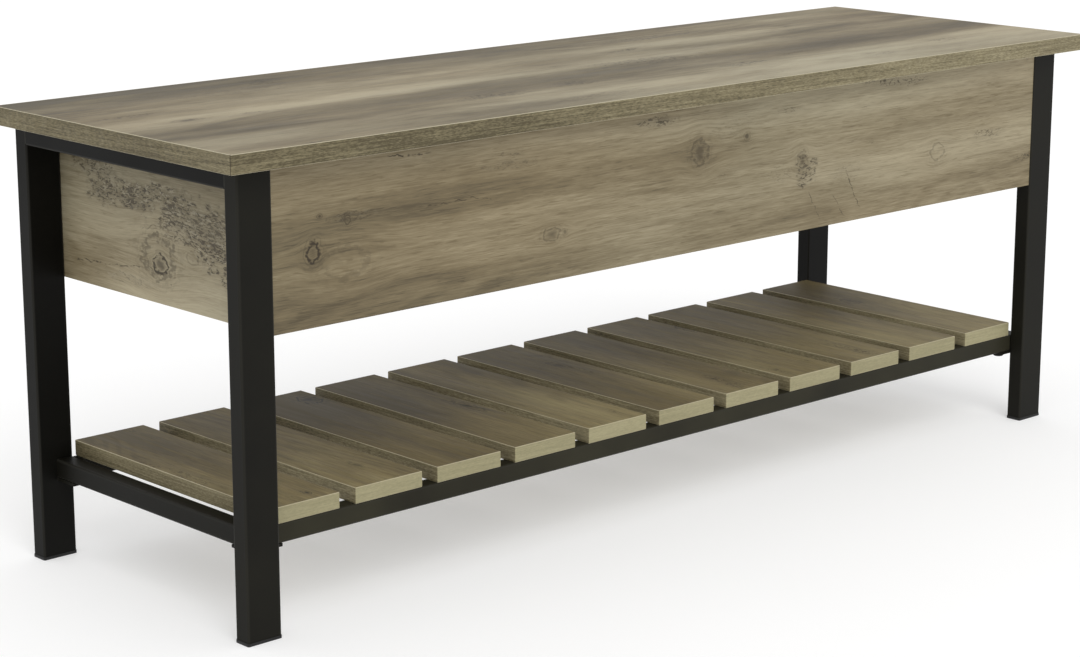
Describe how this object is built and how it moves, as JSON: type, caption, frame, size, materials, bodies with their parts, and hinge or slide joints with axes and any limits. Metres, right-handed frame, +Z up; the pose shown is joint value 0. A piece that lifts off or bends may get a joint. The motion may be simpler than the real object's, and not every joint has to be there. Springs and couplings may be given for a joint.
{
  "type": "lift-top storage bench",
  "caption": "Entryway bench: boarded box with a rear-hinged lift-up seat on a black rectangular-tube frame, above an open slatted shoe shelf.",
  "frame": {"origin": "on the floor, in the middle of the outline of lid and hinge knuckles", "axes": "+X along the bench to its right end, +Y from the front to the hinged rear, +Z up"},
  "size_m": [1.2192, 0.387, 0.4572],
  "materials": {
    "grey_wash_board": "matt wood-grain laminate, grey wash, with knots",
    "edge_band": "matt grain-printed edge banding",
    "black_powder_coat": "black powder coat, fine texture, low sheen",
    "black_plastic": "moulded black plastic",
    "bumper_rubber": "soft matt rubber",
    "zinc_plate": "bright zinc plate",
    "cast_zinc": "as-cast zinc alloy",
    "black_zinc": "black zinc plate",
    "beech": "fluted raw beech",
    "stay_black": "satin black paint",
    "stay_chrome": "polished hard chrome"
  },
  "bodies": {
    "frame": {"bottom_panel": "grey_wash_board", "box_bolts": "zinc_plate", "cam_bolts": "zinc_plate", "cam_locks": "cast_zinc", "dowels": "beech", "fixed_screws": "zinc_plate", "foot_plug_front_left": "black_plastic", "foot_plug_front_right": "black_plastic", "foot_plug_rear_left": "black_plastic", "foot_plug_rear_right": "black_plastic", "front_panel": "grey_wash_board", "hinge_fixed_leaf_centre": "zinc_plate", "hinge_fixed_leaf_left": "zinc_plate", "hinge_fixed_leaf_right": "zinc_plate", "hinge_pins": "zinc_plate", "left_end_panel": "grey_wash_board", "leg_front_left": "black_powder_coat", "leg_front_right": "black_powder_coat", "leg_rear_left": "black_powder_coat", "leg_rear_right": "black_powder_coat", "leg_top_plugs": "black_plastic", "lid_bumpers": "bumper_rubber", "rail_rivet_nuts": "zinc_plate", "rear_panel": "grey_wash_board", "right_end_panel": "grey_wash_board", "shelf_bolts": "black_zinc", "shelf_corner_plates": "black_powder_coat", "shelf_rail_front": "black_powder_coat", "shelf_rail_left": "black_powder_coat", "shelf_rail_rear": "black_powder_coat", "shelf_rail_right": "black_powder_coat", "slat_01": "grey_wash_board", "slat_02": "grey_wash_board", "slat_03": "grey_wash_board", "slat_04": "grey_wash_board", "slat_05": "grey_wash_board", "slat_06": "grey_wash_board", "slat_07": "grey_wash_board", "slat_08": "grey_wash_board", "slat_09": "grey_wash_board", "slat_10": "grey_wash_board", "slat_11": "grey_wash_board", "slat_screws": "black_zinc", "stay_wall_bracket_left": "zinc_plate", "stay_wall_bracket_right": "zinc_plate", "top_rail_left": "black_powder_coat", "top_rail_right": "black_powder_coat"},
    "lid": {"lid_panel": "grey_wash_board", "lid_edge_bands": "edge_band", "lid_screws": "zinc_plate", "hinge_lid_leaf_left": "zinc_plate", "hinge_lid_leaf_centre": "zinc_plate", "hinge_lid_leaf_right": "zinc_plate", "stay_lid_bracket_left": "zinc_plate", "stay_lid_bracket_right": "zinc_plate"},
    "stay_cylinder_left": {"stay_cylinder_left": "stay_black"},
    "stay_rod_left": {"stay_rod_left": "stay_chrome"},
    "stay_cylinder_right": {"stay_cylinder_right": "stay_black"},
    "stay_rod_right": {"stay_rod_right": "stay_chrome"}
  },
  "joints": [
    {"name": "lid_hinge", "type": "hinge", "parent": "frame", "child": "lid", "pos_m": [0, 0.19, 0.4352], "axis": [-1, 0, 0], "range_deg": [0, 80]},
    {"name": "stay_foot_left", "type": "hinge", "parent": "frame", "child": "stay_cylinder_left", "pos_m": [-0.518, 0.1583, 0.3247], "axis": [-1, 0, 0], "range_deg": [0, 40]},
    {"name": "stay_head_left", "type": "hinge", "parent": "lid", "child": "stay_rod_left", "pos_m": [-0.518, 0.07532, 0.4272], "axis": [-1, 0, 0], "range_deg": [-40, 0]},
    {"name": "stay_foot_right", "type": "hinge", "parent": "frame", "child": "stay_cylinder_right", "pos_m": [0.518, 0.1583, 0.3247], "axis": [-1, 0, 0], "range_deg": [0, 40]},
    {"name": "stay_head_right", "type": "hinge", "parent": "lid", "child": "stay_rod_right", "pos_m": [0.518, 0.07532, 0.4272], "axis": [-1, 0, 0], "range_deg": [-40, 0]}
  ],
  "couplings": [
    {"joint": "stay_foot_left", "follows": "lid_hinge", "ratio": 0.5},
    {"joint": "stay_head_left", "follows": "lid_hinge", "ratio": -0.5},
    {"joint": "stay_foot_right", "follows": "lid_hinge", "ratio": 0.5},
    {"joint": "stay_head_right", "follows": "lid_hinge", "ratio": -0.5}
  ]
}
